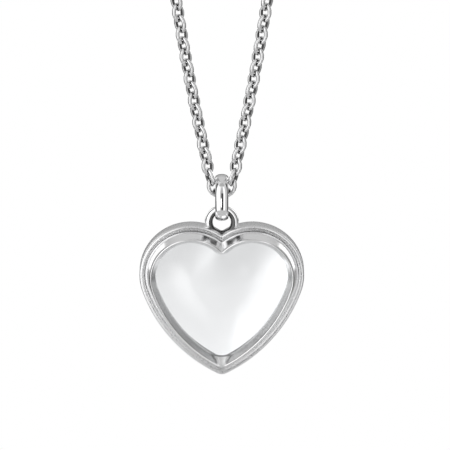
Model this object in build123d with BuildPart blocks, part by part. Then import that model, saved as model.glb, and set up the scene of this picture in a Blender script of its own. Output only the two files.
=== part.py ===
from build123d import *
import math
import os

# Heart locket on a cable chain, in millimetres, as it hangs.
# The origin is the middle of the clasp at the nape, +Z is up and the front faces -Y.
# The chain hangs in the XZ plane, the heart's centre line is x = 0.

os.makedirs("parts", exist_ok=True)

# Heart outline, seen from the front
heart_width = 24.2
heart_height = 22.9
lobe_radius = 7.6
flank_radius = 22.3
outer_tip_radius = 1.5
outer_cleft_radius = 0.2

# Case: the wide band of the locket, with the ledge that the bezel stands on
band_depth = 2.7
band_edge_round = 0.25
case_wall = 1.4
hollow_tip_radius = 2.0

# Front bezel: the narrower, proud frame that stands on the ledge and covers the glass's rim
ledge_width = 0.8
bezel_height = 1.8
shoulder_height = 1.6
shoulder_lean = 0.65
bezel_tip_radius = 1.5
crest_round_in = 0.15
crest_width = 0.12
crest_cleft_radius = 0.6
lip_inset = 2.37
lip_thickness = 0.45
window_cleft_radius = 1.5
window_tip_radius = 3.2
seat_clearance = 0.03

# Front glass: flat behind, softly domed in front
glass_edge = 0.8
DOME_STEPS = [
    {"run": 0.0, "rise": 0.0},
    {"run": 0.06, "rise": 0.3},
    {"run": 1.4, "rise": 0.55},
    {"run": 3.4, "rise": 0.75},
]

# Back door, its plug that snaps into the case, and its flat glass
door_inset = 0.55
door_thickness = 0.7
door_gap = 0.05
plug_clearance = 0.06
plug_wall = 0.25
plug_height = 0.5
back_lip_inset = 1.92
back_lip_thickness = 0.4
back_glass_thickness = 0.6

# Hinge at the heart's left side, behind the ledge
hinge_axis_inset = 0.52
barrel_radius = 0.33
pin_radius = 0.14
pin_clearance = 0.02
knuckle_length = 0.9
knuckle_gap = 0.05
knuckle_foot_width = 0.5
notch_clearance = 0.1
web_bite = 0.05

# Loop soldered into the heart's cleft
loop_radius = 1.92
loop_wire_radius = 0.58
loop_above_lobes = 0.29
loop_seam_angle = 45

# Bail: an oval ring of oval wire
bail_bend_radius = 2.3
bail_straight = 0.66
bail_wire_width = 1.92
bail_wire_thickness = 1.0
bail_hang_gap = 0.06

# Chain links
link_wire = 0.5
link_width = 2.3
link_end_radius = 0.62
link_gap = 0.12
link_pitch = 1.69
link_wire_sides = 5
link_side_corner = 70.0

# Lie of the chain: how its lowest links sit, then how the two strands run
middle_link_tilt = 51.5
middle_link_rise = 0.2
first_link_out = 1.175
first_link_up = 0.74
first_link_back = 0.25
strand_roll = 45.0
links_per_side = 118
front_links = 73
clasp_links = 5
bow_length = 28.0
bow_lean = 12.1
strand_lean = 8.6

# Plain cord that keeps the chain's place along the hidden stretches
stand_in_radius = 0.8
stand_in_gap = 0.1

# Leans from the vertical and rolls, in degrees, of the links next to the middle one
LOW_LINKS = [
    {"lean": 26.0, "roll": 41.0},
    {"lean": 13.5, "roll": -62.0},
    {"lean": 9.0, "roll": 45.0},
]

# Clasp at the nape, and the ring that it closes on
clasp_radius = 2.3
clasp_wire_radius = 0.5
eyelet_radius = 0.9
eyelet_wire_radius = 0.3
solder_depth = 0.2
end_ring_radius = 1.55
end_ring_wire_radius = 0.3
ring_gap = 0.16


def polar(centre, radius, angle):
    """Point at a distance and an angle, in radians, from a centre."""
    return (centre[0] + radius * math.cos(angle), centre[1] + radius * math.sin(angle))


def bearing(origin, target):
    """Angle in radians of the direction from one point to another."""
    return math.atan2(target[1] - origin[1], target[0] - origin[0])


def arc(centre, radius, start, end):
    """Arc about a centre, drawn in the line that is being built."""
    ThreePointArc(
        polar(centre, radius, start),
        polar(centre, radius, (start + end) / 2),
        polar(centre, radius, end),
    )


# Centres of the outline's arcs, with the tops of the lobes at height 0
lobe_centre = (heart_width / 2 - lobe_radius, -lobe_radius)
tip_centre = (0.0, outer_tip_radius - heart_height)
centre_span = math.dist(lobe_centre, tip_centre)
to_lobe = flank_radius - lobe_radius
to_tip = flank_radius - outer_tip_radius
flank_turn = math.acos((to_lobe**2 + centre_span**2 - to_tip**2) / (2 * to_lobe * centre_span))
flank_centre = polar(lobe_centre, to_lobe, bearing(lobe_centre, tip_centre) - flank_turn)


def heart(inset, cleft_radius, tip_radius):
    """Heart face, parallel to the outline at an inset, with its own cleft and tip."""
    lobe = lobe_radius - inset
    flank = flank_radius - inset
    cleft_reach = math.sqrt((lobe + cleft_radius) ** 2 - lobe_centre[0] ** 2)
    cleft = (0.0, lobe_centre[1] + cleft_reach)
    tip_reach = math.sqrt((flank - tip_radius) ** 2 - flank_centre[0] ** 2)
    tip = (0.0, flank_centre[1] - tip_reach)
    cleft_turn = bearing(lobe_centre, cleft)
    side_turn = bearing(flank_centre, lobe_centre)
    tip_turn = bearing(flank_centre, tip)
    with BuildLine() as outline:
        arc(cleft, cleft_radius, -math.pi / 2, cleft_turn - math.pi)
        arc(lobe_centre, lobe, cleft_turn, side_turn)
        arc(flank_centre, flank, side_turn, tip_turn)
        arc(tip, tip_radius, tip_turn, -math.pi / 2)
        mirror(about=Plane.YZ)
    make_face(outline.edges())


def lie_of_side():
    """Centres, leans and rolls of the links of the right strand, from the middle link up."""
    leans = [row["lean"] for row in LOW_LINKS]
    rolls = [row["roll"] for row in LOW_LINKS]
    x, z = first_link_out, first_link_up
    lean = math.radians(leans[0])
    x -= link_pitch / 2 * math.sin(lean)
    z -= link_pitch / 2 * math.cos(lean)
    bow_links = round(bow_length / link_pitch)
    for number in range(len(leans), bow_links):
        share = (number - len(leans) + 0.5) / (bow_links - len(leans))
        leans.append(bow_lean + (strand_lean - bow_lean) * share)
    low_x = x + sum(link_pitch * math.sin(math.radians(lean)) for lean in leans)

    # The rest runs straight and then round one arc to the clasp, level at the nape
    beta = math.radians(strand_lean)
    turn = math.pi / 2 + beta
    rest = (links_per_side - bow_links) * link_pitch
    straight = rest - (low_x - clasp_half) * turn / math.cos(beta)
    straight /= 1 + math.tan(beta) * turn
    nape_radius = (rest - straight) / turn
    for number in range(links_per_side - bow_links):
        along = (number + 0.5) * link_pitch
        leans.append(math.degrees(beta - max(0.0, along - straight) / nape_radius))

    side = []
    bend = {"straight": straight, "radius": nape_radius, "links_below": bow_links}
    for number, lean_degrees in enumerate(leans):
        lean = math.radians(lean_degrees)
        roll = rolls[number] if number < len(rolls) else strand_roll * (-1) ** number
        middle = (x + link_pitch / 2 * math.sin(lean), z + link_pitch / 2 * math.cos(lean))
        side.append({"x": middle[0], "z": middle[1], "lean": lean, "roll": math.radians(roll)})
        if number == bow_links:
            bend["x"] = x + straight * math.sin(beta)
            bend["z"] = z + straight * math.cos(beta)
        x += link_pitch * math.sin(lean)
        z += link_pitch * math.cos(lean)
    return side, z, bend


# Reaches along the nape, from the clasp's centre to its eyelet, end ring and last links
ring_slack = ring_gap - link_gap / 2
clasp_outer_radius = clasp_radius + clasp_wire_radius
eyelet_reach = clasp_outer_radius + eyelet_radius + eyelet_wire_radius - solder_depth
left_reach = eyelet_reach + eyelet_radius - eyelet_wire_radius - ring_slack
end_ring_hole = end_ring_radius - end_ring_wire_radius
end_ring_reach = clasp_radius - clasp_wire_radius - ring_gap + end_ring_hole
right_reach = end_ring_reach + end_ring_hole - ring_slack
clasp_half = (left_reach + right_reach) / 2
clasp_x = (left_reach - right_reach) / 2

right_side, strand_height, nape_bend = lie_of_side()

# Heights and depths that follow from the hanging chain
middle_link_z = -strand_height
pendant_y = first_link_back
bail_axis_z = middle_link_z - middle_link_rise
bail_z = bail_axis_z - bail_straight
bail_inner_radius = bail_bend_radius - bail_wire_thickness / 2
bail_inside_low = bail_z - bail_straight - bail_inner_radius
loop_z = bail_inside_low + bail_hang_gap - loop_radius + loop_wire_radius
heart_top_z = loop_z - loop_above_lobes
case_back_y = pendant_y + band_depth / 2


def front_plane(depth):
    """Plane parallel to the heart, measured forward from the case's back."""
    origin = (0, case_back_y - depth, heart_top_z)
    return Plane(origin=origin, x_dir=(1, 0, 0), z_dir=(0, -1, 0))


def loft_hearts(rows):
    """Ruled wall through heart sections, one for each row of depth, inset and radii."""
    sections = []
    for row in rows:
        with BuildSketch(front_plane(row["depth"])) as section:
            heart(row["inset"], row["cleft"], row["tip"])
        sections.append(section.sketch.face())
    loft(sections, ruled=True)


# Hinge places: the barrel lies on the case's back, at the heart's widest height
hinge_x = hinge_axis_inset - heart_width / 2
hinge_y = case_back_y + door_gap + barrel_radius
hinge_z = heart_top_z - lobe_radius
knuckle_step = knuckle_length + knuckle_gap
hinge_length = 3 * knuckle_length + 2 * knuckle_gap
notch_edge = hinge_x + barrel_radius + notch_clearance


def knuckle(height):
    """Barrel of one knuckle about the hinge axis, centred at a height."""
    with Locations((hinge_x, hinge_y, height)):
        Cylinder(barrel_radius, knuckle_length)


def bore(radius):
    """Hole along the whole hinge axis."""
    with Locations((hinge_x, hinge_y, hinge_z)):
        Cylinder(radius, 2 * hinge_length, mode=Mode.SUBTRACT)


# Case: band, hollow, soldered loop and the hinge's two outer knuckles
with BuildPart() as case:
    with BuildSketch(front_plane(0)):
        heart(0, outer_cleft_radius, outer_tip_radius)
    extrude(amount=band_depth)
    faces_in_depth = case.faces().sort_by(Axis.Y)
    fillet(faces_in_depth[0].edges() + faces_in_depth[-1].edges(), band_edge_round)
    with BuildSketch(front_plane(0)):
        heart(case_wall, window_cleft_radius, hollow_tip_radius)
    extrude(amount=band_depth, mode=Mode.SUBTRACT)
    loop_plane = Plane(origin=(0, pendant_y, loop_z), x_dir=(1, 0, 0), z_dir=(0, -1, 0))
    with BuildLine(loop_plane) as loop_line:
        CenterArc((0, 0), loop_radius, loop_seam_angle, 180)
        CenterArc((0, 0), loop_radius, loop_seam_angle + 180, 180)
    loop_start = loop_line.edges()[0]
    with BuildSketch(Plane(origin=loop_start @ 0, z_dir=loop_start % 0)):
        Circle(loop_wire_radius)
    sweep()
    for side in (-1, 1):
        knuckle(hinge_z + side * knuckle_step)
        with Locations((hinge_x, (hinge_y + case_back_y) / 2, hinge_z + side * knuckle_step)):
            Box(knuckle_foot_width, hinge_y - case_back_y, knuckle_length)
    bore(pin_radius + pin_clearance)
case.part.label = "case"
export_step(case.part, "parts/case.step")

# Front bezel: sloping outer wall, narrow crest, inner slope to the lip over the glass
crest_inset = ledge_width + shoulder_lean + crest_round_in
lip_front = band_depth + lip_thickness
with BuildPart() as front_bezel:
    loft_hearts([
        {"depth": band_depth, "inset": ledge_width, "cleft": outer_cleft_radius,
         "tip": bezel_tip_radius},
        {"depth": band_depth + shoulder_height, "inset": ledge_width + shoulder_lean,
         "cleft": outer_cleft_radius, "tip": bezel_tip_radius},
        {"depth": band_depth + bezel_height, "inset": crest_inset, "cleft": outer_cleft_radius,
         "tip": bezel_tip_radius},
    ])
    with BuildSketch(front_plane(band_depth + bezel_height)):
        heart(crest_inset + crest_width, crest_cleft_radius, bezel_tip_radius)
    with BuildSketch(front_plane(lip_front)):
        heart(lip_inset, window_cleft_radius, window_tip_radius)
    loft(ruled=True, mode=Mode.SUBTRACT)
    with BuildSketch(front_plane(lip_front)):
        heart(lip_inset, window_cleft_radius, window_tip_radius)
    extrude(amount=-lip_thickness, mode=Mode.SUBTRACT)
front_bezel.part.label = "front_bezel"
export_step(front_bezel.part, "parts/front_bezel.step")

# Front glass: rim inside the case's hollow and under the lip, then a low dome inside the lip
glass_front = band_depth - seat_clearance
with BuildPart() as front_glass:
    with BuildSketch(front_plane(glass_front)):
        heart(case_wall + seat_clearance, window_cleft_radius, hollow_tip_radius)
    extrude(amount=-glass_edge)
    loft_hearts([
        {"depth": glass_front + step["rise"], "inset": lip_inset + seat_clearance + step["run"],
         "cleft": window_cleft_radius + step["run"], "tip": window_tip_radius}
        for step in DOME_STEPS
    ])
front_glass.part.label = "front_glass"
export_step(front_glass.part, "parts/front_glass.step")

# Back door: flat frame, plug that snaps into the case, and the hinge's middle knuckle
door_front = -door_gap
door_back = door_front - door_thickness
plug_inset = case_wall + plug_clearance
back_seat = plug_inset + plug_wall
notch_length = hinge_length + notch_clearance
web_length = barrel_radius + notch_clearance + web_bite
with BuildPart() as back_door:
    with BuildSketch(front_plane(door_back)):
        heart(door_inset, outer_cleft_radius, outer_tip_radius)
    extrude(amount=door_thickness)
    with BuildSketch(front_plane(door_front)):
        heart(plug_inset, window_cleft_radius, hollow_tip_radius)
    extrude(amount=door_gap + plug_height)
    with BuildSketch(front_plane(door_back)):
        heart(back_lip_inset, window_cleft_radius, hollow_tip_radius)
    extrude(amount=door_thickness + door_gap + plug_height, mode=Mode.SUBTRACT)
    with BuildSketch(front_plane(door_back + back_lip_thickness)):
        heart(back_seat, window_cleft_radius, hollow_tip_radius)
    extrude(amount=door_thickness + door_gap + plug_height, mode=Mode.SUBTRACT)
    with Locations((notch_edge - heart_width / 2, hinge_y, hinge_z)):
        Box(heart_width, 2 * door_thickness, notch_length, mode=Mode.SUBTRACT)
    knuckle(hinge_z)
    with Locations((hinge_x + web_length / 2, hinge_y, hinge_z)):
        Box(web_length, barrel_radius, knuckle_length)
    bore(pin_radius + pin_clearance)
back_door.part.label = "back_door"
export_step(back_door.part, "parts/back_door.step")

# Back glass: flat pane dropped into the door from inside
with BuildPart() as back_glass:
    with BuildSketch(front_plane(door_back + back_lip_thickness + seat_clearance)):
        heart(back_seat + seat_clearance, window_cleft_radius, hollow_tip_radius)
    extrude(amount=back_glass_thickness)
back_glass.part.label = "back_glass"
export_step(back_glass.part, "parts/back_glass.step")

# Hinge pin
with BuildPart() as hinge_pin:
    with Locations((hinge_x, hinge_y, hinge_z)):
        Cylinder(pin_radius, hinge_length)
hinge_pin.part.label = "hinge_pin"
export_step(hinge_pin.part, "parts/hinge_pin.step")

# Bail: an oval section swept round a long ring that stands across the chain
bail_plane = Plane(origin=(0, pendant_y, bail_z), x_dir=(0, 1, 0), z_dir=(1, 0, 0))
with BuildPart() as bail:
    with BuildLine(bail_plane):
        Line((bail_bend_radius, -bail_straight), (bail_bend_radius, bail_straight))
        ThreePointArc(
            (bail_bend_radius, bail_straight),
            (0, bail_straight + bail_bend_radius),
            (-bail_bend_radius, bail_straight),
        )
        Line((-bail_bend_radius, bail_straight), (-bail_bend_radius, -bail_straight))
        ThreePointArc(
            (-bail_bend_radius, -bail_straight),
            (0, -bail_straight - bail_bend_radius),
            (bail_bend_radius, -bail_straight),
        )
    with BuildSketch(Plane.XY.offset(bail_z)):
        with Locations((0, pendant_y + bail_bend_radius)):
            Ellipse(bail_wire_width / 2, bail_wire_thickness / 2)
    sweep()
bail.part.label = "bail"
export_step(bail.part, "parts/bail.step")

# One chain link: wire bent round an oval of four arcs, drawn with straight sides
link_length = link_pitch + 2 * link_wire + link_gap
oval_half_length = (link_length - link_wire) / 2
oval_half_width = (link_width - link_wire) / 2
end_centre = oval_half_length - link_end_radius
spread = oval_half_width - link_end_radius
side_radius = (end_centre**2 + oval_half_width**2 - link_end_radius**2) / (2 * spread)
side_centre = (0, oval_half_width - side_radius)
end_turn = math.atan2(-side_centre[1], end_centre)
corner = polar(side_centre, side_radius, math.radians(link_side_corner))
join = polar((end_centre, 0), link_end_radius, end_turn)
with BuildPart() as link:
    with BuildLine():
        Polyline(
            (0, corner[1]), corner, join, (oval_half_length, 0),
            (join[0], -join[1]), (corner[0], -corner[1]), (0, -corner[1]),
        )
    with BuildSketch(Plane(origin=(0, corner[1], 0), z_dir=(1, 0, 0))):
        RegularPolygon(link_wire / 2, link_wire_sides)
    sweep(transition=Transition.RIGHT)
    mirror(about=Plane.YZ)


def link_at(x, y, z, lean, roll, side):
    """Copy of the link at a centre, leaning from the vertical and rolled about its length."""
    along = Vector(side * math.sin(lean), 0, math.cos(lean))
    outward = Vector(side * math.cos(lean), 0, -math.sin(lean))
    across = outward * math.cos(roll) - Vector(0, 1, 0) * math.sin(roll)
    plane = Plane(origin=(side * x, y, z), x_dir=along, z_dir=along.cross(across))
    return link.part.moved(plane.location)


# Chain: the middle link in the bail, the strands' seen links and those next to the clasp
middle_roll = math.radians(middle_link_tilt)
links = [link_at(0, pendant_y, middle_link_z, math.pi / 2, math.pi / 2 + middle_roll, 1)]
for row in right_side[:front_links] + right_side[-clasp_links:]:
    for side in (-1, 1):
        height = middle_link_z + row["z"]
        links.append(link_at(row["x"], 0, height, row["lean"], row["roll"], side))
chain = Compound(label="chain", children=links)
export_step(chain, "parts/chain.step")

# Back of the chain: a plain cord between those links on each side, straight and then bent
beta = math.radians(strand_lean)
stand_in_inset = link_wire + link_gap / 2 + stand_in_gap
cord_links = links_per_side - clasp_links - nape_bend["links_below"]
cord_turn = (cord_links * link_pitch - stand_in_inset - nape_bend["straight"]) / nape_bend["radius"]
bend_low = (nape_bend["x"], middle_link_z + nape_bend["z"])
bend_centre = polar(bend_low, nape_bend["radius"], math.pi - beta)
cord_row = right_side[front_links]
half_run = link_pitch / 2 - stand_in_inset
cord_low = polar((cord_row["x"], middle_link_z + cord_row["z"]), half_run, -math.pi / 2 - beta)
with BuildPart() as chain_back:
    with BuildLine(Plane.XZ):
        Line(cord_low, bend_low)
        arc(bend_centre, nape_bend["radius"], -beta, cord_turn - beta)
    cord_start = Plane(origin=(cord_low[0], 0, cord_low[1]), z_dir=(math.sin(beta), 0, math.cos(beta)))
    with BuildSketch(cord_start):
        Circle(stand_in_radius)
    sweep()
    mirror(about=Plane.YZ)
chain_back.part.label = "chain_back"
export_step(chain_back.part, "parts/chain_back.step")

# Clasp: a plain ring with a soldered eyelet for the left strand
with BuildPart() as clasp:
    with Locations(Location((clasp_x, 0, 0), (90, 0, 0))):
        Torus(clasp_radius, clasp_wire_radius)
    with Locations(Location((clasp_x - eyelet_reach, 0, 0), (-strand_roll, 0, 0))):
        Torus(eyelet_radius, eyelet_wire_radius)
clasp.part.label = "clasp"
export_step(clasp.part, "parts/clasp.step")

# End ring: joins the right strand to the clasp
with BuildPart() as end_ring:
    with Locations(Location((clasp_x + end_ring_reach, 0, 0), (-strand_roll, 0, 0))):
        Torus(end_ring_radius, end_ring_wire_radius)
end_ring.part.label = "end_ring"
export_step(end_ring.part, "parts/end_ring.step")
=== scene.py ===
import math

import bmesh
import bpy
from mathutils import Matrix, Vector


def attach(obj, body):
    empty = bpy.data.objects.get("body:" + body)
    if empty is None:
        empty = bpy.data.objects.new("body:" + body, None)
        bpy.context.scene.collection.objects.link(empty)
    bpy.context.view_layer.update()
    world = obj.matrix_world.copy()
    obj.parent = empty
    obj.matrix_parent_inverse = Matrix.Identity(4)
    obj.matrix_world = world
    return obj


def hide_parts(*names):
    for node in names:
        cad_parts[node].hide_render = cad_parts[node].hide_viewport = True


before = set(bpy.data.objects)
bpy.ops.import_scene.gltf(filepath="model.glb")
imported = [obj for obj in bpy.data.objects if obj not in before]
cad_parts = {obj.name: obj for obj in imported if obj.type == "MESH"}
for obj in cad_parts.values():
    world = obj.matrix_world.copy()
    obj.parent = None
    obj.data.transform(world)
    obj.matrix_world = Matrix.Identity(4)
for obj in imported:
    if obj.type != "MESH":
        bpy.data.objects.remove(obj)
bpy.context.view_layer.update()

# Case.
# The broad heart-shaped band that carries everything else, cast in silver with a satin outer
# face and a slightly crowned ledge round its front. The wire loop is soldered into the cleft,
# and two hinge knuckles stand on its back.

# The necklace and the camera are placed in millimetres, the floor and the lights in metres
mm = 0.001
heart_top = Vector((0, 1.6, -189.086))
cleft_radius = 0.2
lobe_radius = 7.6
lobe_middle = Vector((4.5, 0, -7.6))
flank_radius = 22.3
tip_radius = 1.5
tip_middle = Vector((0, 0, tip_radius - 22.9))
cleft_steps = 5
lobe_steps = 44
flank_steps = 26
tip_steps = 7


def turn_to(start, end):
    """Angle of the way from one point to another, seen from the front."""
    return math.atan2(end.z - start.z, end.x - start.x)


# The flank's arc runs smoothly into the lobe's and the tip's, which gives its middle
span = (tip_middle - lobe_middle).length
to_lobe = flank_radius - lobe_radius
to_tip = flank_radius - tip_radius
flank_turn = math.acos((to_lobe**2 + span**2 - to_tip**2) / (2 * to_lobe * span))
flank_way = turn_to(lobe_middle, tip_middle) - flank_turn
flank_middle = lobe_middle + to_lobe * Vector((math.cos(flank_way), 0, math.sin(flank_way)))


def bend(bm, end, middle, start_angle, end_angle, steps):
    """Carries the end of a chain of points round an arc, and gives the new end."""
    swept = bmesh.ops.spin(
        bm, geom=[end], cent=middle, axis=(0, 1, 0), angle=start_angle - end_angle, steps=steps,
    )
    return [part for part in swept["geom_last"] if isinstance(part, bmesh.types.BMVert)][0]


def half_heart(bm, depth, inset, cleft_round=cleft_radius, tip_round=tip_radius):
    """Right half of a heart line, from the cleft to the tip, set in from the outline."""
    before = set(bm.edges)
    away = Vector((0, -depth, 0))
    lobe = lobe_radius - inset
    cleft_rise = math.sqrt((lobe + cleft_round) ** 2 - lobe_middle.x**2)
    cleft_middle = Vector((0, 0, lobe_middle.z + cleft_rise))
    tip_drop = math.sqrt((flank_radius - inset - tip_round) ** 2 - flank_middle.x**2)
    round_tip = Vector((0, 0, flank_middle.z - tip_drop))
    into_lobe = turn_to(lobe_middle, cleft_middle)
    into_flank = turn_to(flank_middle, lobe_middle)
    into_tip = turn_to(flank_middle, round_tip)
    end = bm.verts.new(cleft_middle + away - Vector((0, 0, cleft_round)))
    end = bend(bm, end, cleft_middle + away, -math.pi / 2, into_lobe - math.pi, cleft_steps)
    end = bend(bm, end, lobe_middle + away, into_lobe, into_flank, lobe_steps)
    end = bend(bm, end, flank_middle + away, into_flank, into_tip, flank_steps)
    bend(bm, end, round_tip + away, into_tip, -math.pi / 2, tip_steps)
    return [edge for edge in bm.edges if edge not in before]


def heart_ring(rows, closed=True):
    """Heart-shaped frame, or a pane where it isn't closed, drawn through half-heart rows."""
    bm = bmesh.new()
    lines = [half_heart(bm, *row) for row in rows]
    for near, far in zip(lines, lines[1:] + ([lines[0]] if closed else [])):
        bmesh.ops.bridge_loops(bm, edges=near + far)
    everything = bm.verts[:] + bm.edges[:] + bm.faces[:]
    bmesh.ops.mirror(bm, geom=everything, axis="X", merge_dist=1e-3)
    bmesh.ops.remove_doubles(bm, verts=bm.verts, dist=1e-3)
    if not closed:
        rims = [edge for edge in bm.edges if edge.is_boundary]
        bmesh.ops.holes_fill(bm, edges=rims, sides=0)
    return bm


def wire_end(bm, radius, sides, place):
    """Cut end of a wire, as the points and edges that a spin carries along."""
    corners = bmesh.ops.create_circle(bm, radius=radius, segments=sides, matrix=place)["verts"]
    return corners + list(dict.fromkeys(edge for corner in corners for edge in corner.link_edges))


def outwardness(face, middle):
    """How far a face of a wire ring turns away from the ring's middle."""
    return face.normal.dot(face.calc_center_median() - middle)


def block(bm, middle, size):
    """Adds a plain block about a middle."""
    place = Matrix.Translation(middle) @ Matrix.Diagonal((*size, 1))
    bmesh.ops.create_cube(bm, size=1, matrix=place)


def settle(bm, name, body, *finishes, smooth_angle=32):
    """Finished object from a shape in its place, smooth but for its sharp edges."""
    bmesh.ops.scale(bm, vec=(mm, mm, mm), verts=bm.verts)
    bmesh.ops.recalc_face_normals(bm, faces=bm.faces)
    mesh = bpy.data.meshes.new(name)
    bm.to_mesh(mesh)
    bm.free()
    mesh.shade_smooth()
    mesh.set_sharp_from_angle(angle=math.radians(smooth_angle))
    for finish in finishes:
        mesh.materials.append(finish)
    piece = bpy.data.objects.new(name, mesh)
    bpy.context.scene.collection.objects.link(piece)
    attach(piece, body)
    return piece


def hang(bm, name, body, *finishes, smooth_angle=32):
    """Finished object from a shape that is drawn about the top of the heart's back."""
    bmesh.ops.translate(bm, vec=heart_top, verts=bm.verts)
    return settle(bm, name, body, *finishes, smooth_angle=smooth_angle)


smoothest = 0.7
dullest = 1.4
mark_depth = 0.00002


def silver(name, shade, roughness, grain, relief):
    """Silver with fine marks: grain is their number in a metre, relief how deep they look."""
    material = bpy.data.materials.new(name)
    material.use_nodes = True
    nodes, links = material.node_tree.nodes, material.node_tree.links
    shader = nodes["Principled BSDF"]
    shader.inputs["Base Color"].default_value = (shade, shade, shade * 1.005, 1)
    shader.inputs["Metallic"].default_value = 1
    place = nodes.new("ShaderNodeTexCoord")
    marks = nodes.new("ShaderNodeTexNoise")
    marks.inputs["Scale"].default_value = grain
    marks.inputs["Detail"].default_value = 4
    links.new(place.outputs["Object"], marks.inputs["Vector"])
    dull = nodes.new("ShaderNodeMapRange")
    dull.inputs["To Min"].default_value = roughness * smoothest
    dull.inputs["To Max"].default_value = roughness * dullest
    links.new(marks.outputs["Fac"], dull.inputs["Value"])
    links.new(dull.outputs["Result"], shader.inputs["Roughness"])
    bump = nodes.new("ShaderNodeBump")
    bump.inputs["Strength"].default_value = relief
    bump.inputs["Distance"].default_value = mark_depth
    links.new(marks.outputs["Fac"], bump.inputs["Height"])
    links.new(bump.outputs["Normal"], shader.inputs["Normal"])
    return material


satin_silver = silver("satin_silver", 0.88, 0.28, 5200, 0.22)
bright_silver = silver("bright_silver", 0.93, 0.08, 2600, 0.12)
# Near-black silver that paints shade on the inner halves of the loop and the links
painted_shade_silver = silver("painted_shade_silver", 0.12, 0.15, 2600, 0.12)

# Each row is a depth towards the front, an inset from the outline, and the radius of the
# cleft and of the tip where they aren't the outline's own
band = heart_ring([
    (0.0, 1.40, 1.5, 2.0),
    (0.0, 1.0, 1.0, 1.8),
    (0.0, 0.6, 0.6, 1.6),
    (0.0, 0.28, 0.3),
    (0.05, 0.12),
    (0.16, 0.02),
    (0.3, 0.0),
    (1.0, 0.0),
    (1.7, 0.0),
    (2.4, 0.0),
    (2.54, 0.03),
    (2.64, 0.12),
    (2.69, 0.28),
    (2.70, 0.5),
    (2.68, 0.7),
    (2.60, 0.82),
    (2.60, 1.1, 0.8, 1.7),
    (2.60, 1.40, 1.5, 2.0),
])

loop_radius = 1.92
loop_wire = 0.58
loop_middle = Vector((0, -1.35, 0.29))
loop_start = Matrix.Translation(loop_middle + Vector((0, 0, loop_radius)))
satin_faces = set(band.faces)
bmesh.ops.spin(
    band, geom=wire_end(band, loop_wire, 24, loop_start @ Matrix.Rotation(math.pi / 2, 4, "Y")),
    cent=loop_middle, axis=(0, 1, 0), angle=math.tau, steps=72, use_merge=True,
)

# The loop's inner half gets painted shade: a near-black silver stands in for the shade inside the
# ring
painted_shade_below = 0.4
bmesh.ops.recalc_face_normals(band, faces=band.faces)
for face in band.faces:
    if face not in satin_faces:
        face.material_index = 1 if outwardness(face, loop_middle) > painted_shade_below else 2

hinge_x = -11.58
hinge_depth = 0.38
hinge_height = -7.6
knuckle_step = 0.95
knuckle_radius = 0.33
knuckle_bore = 0.16
half_knuckle = 0.45
soft_rim = 0.04
foot_width = 0.5
foot_depth = 0.2


def knuckle(bm, height):
    """Tube of one hinge knuckle with softened rims, about the pin behind the case's back."""
    rim_radius = knuckle_radius - soft_rim
    rim_rise = half_knuckle - soft_rim
    section = [
        bm.verts.new((hinge_x + reach, hinge_depth, height + rise))
        for reach, rise in (
            (knuckle_bore, -half_knuckle), (rim_radius, -half_knuckle), (knuckle_radius, -rim_rise),
            (knuckle_radius, rim_rise), (rim_radius, half_knuckle), (knuckle_bore, half_knuckle),
        )
    ]
    around = [bm.edges.new(pair) for pair in zip(section, section[1:] + section[:1])]
    bmesh.ops.spin(
        bm, geom=section + around, cent=(hinge_x, hinge_depth, height), axis=(0, 0, 1),
        angle=math.tau, steps=28, use_merge=True,
    )


for side in (-1, 1):
    height = hinge_height + side * knuckle_step
    knuckle(band, height)
    block(band, (hinge_x, foot_depth / 2, height), (foot_width, foot_depth, 2 * half_knuckle))
case = hang(band, "case_band", "locket", satin_silver, bright_silver, painted_shade_silver)
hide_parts("case")

# Front bezel.
# The narrow polished frame that stands proud of the ledge and grips the front pane.
# Its outer wall rolls over a rounded crest and slopes inwards to the lip over the glass.

frame_silver = silver("frame_silver", 0.93, 0.15, 2600, 0.12)
bezel_shape = heart_ring([
    (2.70, 2.37, 1.5, 3.2),
    (2.70, 1.6, 0.9, 2.4),
    (2.70, 0.80),
    (3.2, 1.0),
    (3.7, 1.21),
    (4.15, 1.39),
    (4.33, 1.47),
    (4.45, 1.56, 0.25),
    (4.50, 1.65, 0.35),
    (4.47, 1.73, 0.5),
    (4.38, 1.79, 0.65, 1.6),
    (4.1, 1.92, 0.85, 2.0),
    (3.7, 2.11, 1.1, 2.5),
    (3.3, 2.3, 1.4, 3.0),
    (3.19, 2.35, 1.48, 3.17),
    (3.12, 2.37, 1.5, 3.2),
])
bezel = hang(bezel_shape, "front_bezel_frame", "locket", frame_silver, smooth_angle=40)
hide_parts("front_bezel")

# Front glass.
# A heart-shaped pane of clear glass, flat behind and softly domed in front. Its rim sits
# under the bezel's lip, and its surface has a faint waviness.

clear_glass = bpy.data.materials.new("front_glass")
clear_glass.use_nodes = True
nodes, links = clear_glass.node_tree.nodes, clear_glass.node_tree.links
shader = nodes["Principled BSDF"]
shader.inputs["Base Color"].default_value = (0.97, 0.975, 0.98, 1)
shader.inputs["Transmission Weight"].default_value = 1
shader.inputs["IOR"].default_value = 1.5
shader.inputs["Roughness"].default_value = 0.02
place = nodes.new("ShaderNodeTexCoord")
waves = nodes.new("ShaderNodeTexNoise")
waves.inputs["Scale"].default_value = 110
bump = nodes.new("ShaderNodeBump")
bump.inputs["Strength"].default_value = 0.25
bump.inputs["Distance"].default_value = 0.00006
links.new(place.outputs["Object"], waves.inputs["Vector"])
links.new(waves.outputs["Fac"], bump.inputs["Height"])
links.new(bump.outputs["Normal"], shader.inputs["Normal"])

dome_foot = 2.98
dome_rise = 0.33
dome_reach = 6.5
dome_inset = 2.46
dome_cleft = 1.56
window_tip = 3.2


def dome_row(inward):
    """Row of the dome at a way in from its foot, on a curve that levels off."""
    still_to_rise = (1 - inward / dome_reach) ** 2
    depth = dome_foot + dome_rise * (1 - still_to_rise)
    return depth, dome_inset + inward, dome_cleft + inward, window_tip


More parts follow.
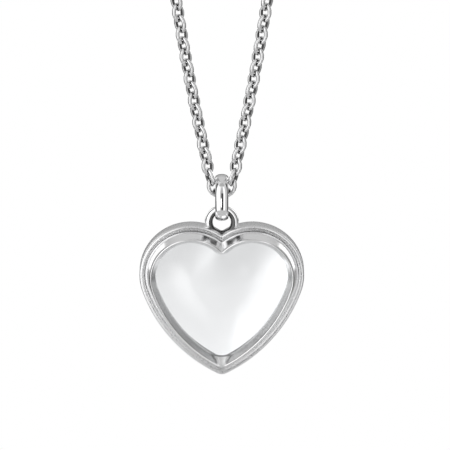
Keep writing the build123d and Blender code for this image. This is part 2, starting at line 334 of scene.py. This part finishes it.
pane_shape = heart_ring([
    (1.87, 1.47, 1.5, 2.0),
    (1.91, 1.43, 1.5, 2.0),
    (2.63, 1.43, 1.5, 2.0),
    (2.67, 1.47, 1.5, 2.0),
    (2.67, 2.40, 1.5, window_tip),
    (2.90, 2.41, 1.51, window_tip),
    *map(dome_row, (0.0, 0.12, 0.3, 0.6, 1.0, 1.5, 2.0, 2.5, 3.0, 3.5, 4.0, 4.5, 4.9)),
], closed=False)
pane = hang(pane_shape, "front_glass_pane", "locket", clear_glass, smooth_angle=25)
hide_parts("front_glass")

# Back door and back glass.
# A flat polished heart-shaped frame that closes the locket from behind. Its plug snaps into
# the case, its middle knuckle turns on the pin, and a flat pane lies in it.

door_shape = heart_ring([
    (-0.05, 1.46, 1.5, 2.0),
    (-0.05, 1.0, 1.0, 1.8),
    (-0.05, 0.62, 0.4, 1.6),
    (-0.09, 0.56),
    (-0.20, 0.55),
    (-0.58, 0.55),
    (-0.69, 0.59),
    (-0.745, 0.70),
    (-0.75, 0.85, 0.3, 1.6),
    (-0.75, 1.80, 1.4, 1.9),
    (-0.73, 1.88, 1.5, 2.0),
    (-0.68, 1.92, 1.5, 2.0),
    (-0.35, 1.92, 1.5, 2.0),
    (-0.35, 1.71, 1.5, 2.0),
    (0.50, 1.71, 1.5, 2.0),
    (0.50, 1.50, 1.5, 2.0),
    (0.47, 1.46, 1.5, 2.0),
])

# Notch that the case's knuckles stand in: two close cuts at each end, then a straight floor
notch_floor = -11.15
half_notch = 1.46
apart = 0.01
for cut in (-half_notch - apart, -half_notch + apart, half_notch - apart, half_notch + apart):
    hinge_side = [face for face in door_shape.faces if face.calc_center_median().x < 0]
    touched = [part for face in hinge_side for part in (face, *face.edges, *face.verts)]
    bmesh.ops.bisect_plane(
        door_shape, geom=list(dict.fromkeys(touched)), dist=1e-5,
        plane_co=(0, 0, hinge_height + cut), plane_no=(0, 0, 1),
    )
for corner in door_shape.verts:
    if corner.co.x < notch_floor and abs(corner.co.z - hinge_height) < half_notch:
        corner.co.x = notch_floor
bmesh.ops.remove_doubles(door_shape, verts=door_shape.verts, dist=1e-4)

# Middle knuckle, and the web that joins it to the notch's floor
web_step = 0.355
web_width = 0.25
web_depth = 0.33
web_middle = (hinge_x + web_step, hinge_depth, hinge_height)
knuckle(door_shape, hinge_height)
block(door_shape, web_middle, (web_width, web_depth, 2 * half_knuckle))
door = hang(door_shape, "back_door_frame", "door", bright_silver, smooth_angle=40)
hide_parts("back_door")

back_pane_shape = heart_ring([
    (0.28, 1.78, 1.5, 2.0),
    (0.24, 1.74, 1.5, 2.0),
    (-0.28, 1.74, 1.5, 2.0),
    (-0.32, 1.78, 1.5, 2.0),
], closed=False)
back_pane = hang(back_pane_shape, "back_glass_pane", "door", clear_glass, smooth_angle=25)
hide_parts("back_glass")

# Hinge pin.
# A short length of silver wire, held by its fit in the three knuckles. It is shown as the
# solid itself.

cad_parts["hinge_pin"].data.materials.clear()
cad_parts["hinge_pin"].data.materials.append(bright_silver)

# Bail.
# A long closed ring of oval silver wire that passes through the loop and over the chain:
# two straight sides and a half-round bend at each end.

bail_middle = Vector((0, 0.25, -185.056))
bail_bend = 2.3
half_side = 0.66
half_bail_width = 0.96
half_bail_depth = 0.5
bail_shape = bmesh.new()
bail_start = Matrix.Translation(bail_middle + Vector((0, bail_bend, -half_side)))
bail_oval = Matrix.Diagonal((half_bail_width, half_bail_depth, 1, 1))
run = wire_end(bail_shape, 1, 28, bail_start @ bail_oval)
for side in (1, -1):
    run = bmesh.ops.spin(
        bail_shape, geom=run, cent=bail_middle, axis=(1, 0, 0), angle=0, steps=1,
        dvec=(0, 0, side * 2 * half_side),
    )["geom_last"]
    run = bmesh.ops.spin(
        bail_shape, geom=run, cent=bail_middle + Vector((0, 0, side * half_side)),
        axis=(1, 0, 0), angle=math.pi, steps=30,
    )["geom_last"]
bmesh.ops.remove_doubles(bail_shape, verts=bail_shape.verts, dist=0.001)
bail = settle(bail_shape, "bail_ring", "bail", bright_silver)
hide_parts("bail")

# Chain.
# A cable chain of oval silver links, each turned a quarter from the next. The lowest link
# lies level in the bail, and two strands run up from it and round to the clasp.

link_wire = 0.58
link_pitch = 1.69
link_width = 2.3
link_gap = 0.12
link_end = 0.62
half_length = (link_pitch + link_wire + link_gap) / 2
half_width = (link_width - link_wire) / 2
end_middle = half_length - link_end
side_bend = (end_middle**2 + half_width**2 - link_end**2) / (2 * (half_width - link_end))
side_middle = half_width - side_bend
end_turn = math.atan2(-side_middle, end_middle)

# One link: an oval of four arcs, begun at the middle of a side
link_shape = bmesh.new()
link_start = Matrix.Translation((0, half_width, 0)) @ Matrix.Rotation(math.pi / 2, 4, "Y")
run = wire_end(link_shape, link_wire / 2, 6, link_start)
for middle, angle, steps in (
    ((0, side_middle, 0), math.pi / 2 - end_turn, 2),
    ((-end_middle, 0, 0), 2 * end_turn, 4),
    ((0, -side_middle, 0), math.pi - 2 * end_turn, 4),
    ((end_middle, 0, 0), 2 * end_turn, 4),
    ((0, side_middle, 0), math.pi / 2 - end_turn, 2),
):
    run = bmesh.ops.spin(
        link_shape, geom=run, cent=middle, axis=(0, 0, 1), angle=angle, steps=steps,
    )["geom_last"]
bmesh.ops.remove_doubles(link_shape, verts=link_shape.verts, dist=0.001)

# The link's inner half gets the same painted shade as the loop's
bmesh.ops.recalc_face_normals(link_shape, faces=link_shape.faces)
for face in link_shape.faces:
    face.material_index = 0 if outwardness(face, Vector()) > 0 else 1
one_link = bpy.data.meshes.new("one_link")
link_shape.to_mesh(one_link)
link_shape.free()
chain_shape = bmesh.new()


def lay_link(x, y, z, lean, roll, side):
    """Adds a link at a place, leaning from the upright and rolled about its own length."""
    lengthwise = Vector((side * math.sin(lean), 0, math.cos(lean)))
    outward = Vector((side * math.cos(lean), 0, -math.sin(lean)))
    across = outward * math.cos(roll) - Vector((0, 1, 0)) * math.sin(roll)
    turned = Matrix((lengthwise, across, lengthwise.cross(across))).transposed().to_4x4()
    known = len(chain_shape.verts)
    chain_shape.from_mesh(one_link)
    chain_shape.verts.ensure_lookup_table()
    bmesh.ops.transform(
        chain_shape, matrix=Matrix.Translation((side * x, y, z)) @ turned,
        verts=chain_shape.verts[known:],
    )


lowest_link = -184.196
lowest_tilt = math.radians(51.5)
lay_link(0, bail_middle.y, lowest_link, math.pi / 2, math.pi / 2 + lowest_tilt, 1)

# Lean and roll of each link in degrees: three by the bail, then the seen bow of the strand
first_link_out = 1.175
first_link_up = 0.74
leans = [26.0, 13.5, 9.0]
low_rolls = [41.0, -62.0, 45.0]
strand_roll = 45.0
bow_lean = 12.1
strand_lean = 8.6
links_per_side = 118
low_links = len(leans)
bow_links = 17
for number in range(low_links, bow_links):
    share = (number - low_links + 0.5) / (bow_links - low_links)
    leans.append(bow_lean + (strand_lean - bow_lean) * share)
x = first_link_out - link_pitch / 2 * math.sin(math.radians(leans[0]))
z = first_link_up - link_pitch / 2 * math.cos(math.radians(leans[0]))

# The hidden links run on straight, then bend over and arrive level at the clasp's half-length
clasp_half = 4.17
reach = x + sum(link_pitch * math.sin(math.radians(lean)) for lean in leans)
straight_lean = math.radians(strand_lean)
turn_over = math.pi / 2 + straight_lean
hidden = (links_per_side - bow_links) * link_pitch
spare = hidden - (reach - clasp_half) * turn_over / math.cos(straight_lean)
straight = spare / (1 + math.tan(straight_lean) * turn_over)
nape_radius = (hidden - straight) / turn_over
for number in range(links_per_side - bow_links):
    past_straight = max(0.0, (number + 0.5) * link_pitch - straight)
    leans.append(math.degrees(straight_lean - past_straight / nape_radius))

for number, lean in enumerate(math.radians(lean) for lean in leans):
    roll = low_rolls[number] if number < low_links else strand_roll * (-1) ** number
    x += link_pitch / 2 * math.sin(lean)
    z += link_pitch / 2 * math.cos(lean)
    for side in (-1, 1):
        lay_link(x, 0, lowest_link + z, lean, math.radians(roll), side)
    x += link_pitch / 2 * math.sin(lean)
    z += link_pitch / 2 * math.cos(lean)
chain_silver = silver("chain_silver", 0.84, 0.06, 2600, 0.12)
chain = settle(
    chain_shape, "chain_links", "necklace", chain_silver, painted_shade_silver, smooth_angle=80,
)
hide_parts("chain", "chain_back")

# Clasp and end ring.
# A plain silver ring with a small eyelet soldered to it for the left strand, and the end ring
# of the right strand, which it closes on.

clasp_x = 0.13
clasp_radius = 2.3
clasp_wire = 0.5
eyelet_step = 3.8
eyelet_radius = 0.9
end_ring_step = 2.89
end_ring_radius = 1.55
fine_wire = 0.3


def ring(bm, x, radius, wire_radius, roll):
    """Round wire ring at a place across the nape, its plane rolled about the nape's line."""
    middle = Vector((x, 0, 0))
    place = Matrix.Translation(middle) @ Matrix.Rotation(roll, 4, "X")
    start = place @ Matrix.Translation((radius, 0, 0)) @ Matrix.Rotation(math.pi / 2, 4, "X")
    bmesh.ops.spin(
        bm, geom=wire_end(bm, wire_radius, 16, start), cent=middle,
        axis=place.to_3x3() @ Vector((0, 0, 1)), angle=math.tau, steps=48, use_merge=True,
    )


clasp_shape = bmesh.new()
ring(clasp_shape, clasp_x, clasp_radius, clasp_wire, math.pi / 2)
ring(clasp_shape, clasp_x - eyelet_step, eyelet_radius, fine_wire, -math.pi / 4)
clasp = settle(clasp_shape, "ring_clasp", "necklace", bright_silver)
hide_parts("clasp")

end_ring_shape = bmesh.new()
ring(end_ring_shape, clasp_x + end_ring_step, end_ring_radius, fine_wire, -math.pi / 4)
end_ring = settle(end_ring_shape, "closing_ring", "necklace", bright_silver)
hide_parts("end_ring")

# Studio.
# A pale floor well below the hanging necklace, and two soft lights. The silver mirrors
# soft-edged cards all round it, white ones beside the lens and dark gaps between them.

floor_height = -0.45
floor_radius = 0.35
floor_shape = bmesh.new()
bmesh.ops.create_circle(
    floor_shape, cap_ends=True, radius=floor_radius, segments=64,
    matrix=Matrix.Translation((0, 0, floor_height)),
)
floor_mesh = bpy.data.meshes.new("floor")
floor_shape.to_mesh(floor_mesh)
floor_shape.free()
floor = bpy.data.objects.new("floor", floor_mesh)
bpy.context.scene.collection.objects.link(floor)
paper = bpy.data.materials.new("pale_floor")
paper.use_nodes = True
shader = paper.node_tree.nodes["Principled BSDF"]
shader.inputs["Base Color"].default_value = (0.85, 0.85, 0.85, 1)
shader.inputs["Roughness"].default_value = 1
floor.data.materials.append(paper)

studio = bpy.data.worlds.new("studio")
bpy.context.scene.world = studio
studio.use_nodes = True
nodes, links = studio.node_tree.nodes, studio.node_tree.links
pointing = nodes.new("ShaderNodeTexCoord").outputs["Generated"]


def figure(kind, *values):
    """Result of one step of arithmetic on numbers or on other results."""
    node = nodes.new("ShaderNodeMath")
    node.operation = kind
    for socket, value in zip(node.inputs, values):
        if isinstance(value, float):
            socket.default_value = value
        else:
            links.new(value, socket)
    return node.outputs["Value"]


def ranged(value, value_from, value_to, low, high, kind="LINEAR"):
    """A result carried from one span to another and held at its ends."""
    node = nodes.new("ShaderNodeMapRange")
    node.interpolation_type = kind
    links.new(value, node.inputs["Value"])
    node.inputs["From Min"].default_value = value_from
    node.inputs["From Max"].default_value = value_to
    node.inputs["To Max"].default_value = high
    if isinstance(low, float):
        node.inputs["To Min"].default_value = low
    else:
        links.new(low, node.inputs["To Min"])
    return node.outputs["Result"]


def along(way):
    """How far a direction points along a way, as the cosine between them."""
    node = nodes.new("ShaderNodeVectorMath")
    node.operation = "DOT_PRODUCT"
    links.new(pointing, node.inputs[0])
    node.inputs[1].default_value = way
    return node.outputs["Value"]


def fade(offset, size, soft):
    """One within a card's size about its middle, none outside it, with a soft edge."""
    return ranged(offset, (size + soft) / 2, (size - soft) / 2, 0.0, 1.0, "SMOOTHSTEP")


def card(backdrop, way, middle, width, height, tall, soft, grey):
    """Lays a soft-edged card over the backdrop, at degrees round from the front and up."""
    off_side = figure("ABSOLUTE", figure("SUBTRACT", way, float(middle)))
    off_height = figure("ABSOLUTE", figure("SUBTRACT", upward, float(height)))
    cover = figure("MULTIPLY", fade(off_side, width, soft), fade(off_height, tall, soft))
    return ranged(cover, 0, 1, backdrop, grey)


direction = nodes.new("ShaderNodeSeparateXYZ")
links.new(pointing, direction.inputs["Vector"])
forward = figure("MULTIPLY", direction.outputs["Y"], -1.0)
round_about = figure("DEGREES", figure("ARCTAN2", direction.outputs["X"], forward))
upward = figure("DEGREES", figure("ARCSINE", direction.outputs["Z"]))
each_side = figure("ABSOLUTE", round_about)
all_round = 400
plain_grey = 0.45
shade = figure("ADD", plain_grey, 0.0)
for way, middle, width, height, tall, soft, grey in (
    (each_side, 0, all_round, 80, 80, 30, 0.60),
    (each_side, 0, all_round, -72, 66, 20, 0.85),
    (each_side, 180, 110, -30, 45, 16, 0.42),
    (each_side, 103, 50, -20, 26, 12, 0.10),
    (each_side, 84, 24, 0, 110, 10, 0.06),
    (each_side, 110, 28, 10, 46, 6, 0.38),
    (each_side, 137, 26, 13, 40, 6, 1.50),
    (each_side, 42, 52, 0, 104, 12, 1.30),
    (round_about, 52, 34, 0, 104, 14, 0.58),
    (each_side, 0, 90, 68, 22, 8, 0.32),
    (round_about, 5, 18, -20, 70, 8, 0.04),
    (round_about, -5.5, 5, -17, 8, 5, 3.20),
):
    shade = card(shade, way, middle, width, height, tall, soft, grey)

# Dark round straight behind as the lens looks, which draws the silver's edges
look_down = math.radians(17)
lens_way = Vector((0, math.cos(look_down), -math.sin(look_down)))
off_ground = figure("DEGREES", figure("ARCCOSINE", along(lens_way)))
dark_round = 50
near_black = 0.03
shade = ranged(fade(off_ground, dark_round, 6), 0, 1, shade, near_black)

# White ground that only rays through the glass meet. It is brightest to the upper left, which
# the domed pane shows at its right.
brighter_way = (-0.65, 0.22, 0.73)
ground = ranged(along(brighter_way), -0.045, 0.03, 0.86, 1.2)
white_round = 90
ray = nodes.new("ShaderNodeLightPath").outputs
mix = nodes.new("ShaderNodeMix")
through_glass = figure("MULTIPLY", ray["Is Transmission Ray"], fade(off_ground, white_round, 10))
links.new(through_glass, mix.inputs["Factor"])
links.new(shade, mix.inputs["A"])
links.new(ground, mix.inputs["B"])
seen = ranged(ray["Is Camera Ray"], 0, 1, mix.outputs["Result"], 1.0)
links.new(seen, nodes["Background"].inputs["Color"])


def softbox(name, place, size, power):
    """Rectangular soft light at a place, turned to face the locket."""
    lamp = bpy.data.lights.new(name, "AREA")
    lamp.shape = "RECTANGLE"
    lamp.size, lamp.size_y = size
    lamp.energy = power
    light = bpy.data.objects.new(name, lamp)
    light.location = place
    to_locket = Vector((0, 0, -0.2)) - Vector(place)
    light.rotation_euler = to_locket.to_track_quat("-Z", "Y").to_euler()
    bpy.context.scene.collection.objects.link(light)


softbox("top_softbox", (-0.1, -0.2, 0.35), (0.5, 0.3), 0.06)
softbox("left_softbox", (-0.6, -0.3, -0.1), (0.3, 0.6), 0.15)

# Camera.
# A long lens looking down at the locket from the front, aimed just below the lobes' tops. It
# is set so that one pixel of the picture is 0.147 mm wide at the locket.

picture_width = 450
pixel = 0.147
distance = 900
aim = heart_top + Vector((0.47, 0, -0.615))
lens = bpy.data.cameras.new("camera")
lens.sensor_width = 36
lens.lens = lens.sensor_width * distance / (picture_width * pixel)
lens.clip_start = 0.05
camera = bpy.data.objects.new("camera", lens)
camera.location = mm * (aim - distance * lens_way)
camera.rotation_euler = (math.pi / 2 - look_down, 0, 0)
bpy.context.scene.collection.objects.link(camera)
bpy.context.scene.camera = camera
bpy.context.scene.view_settings.view_transform = "Standard"
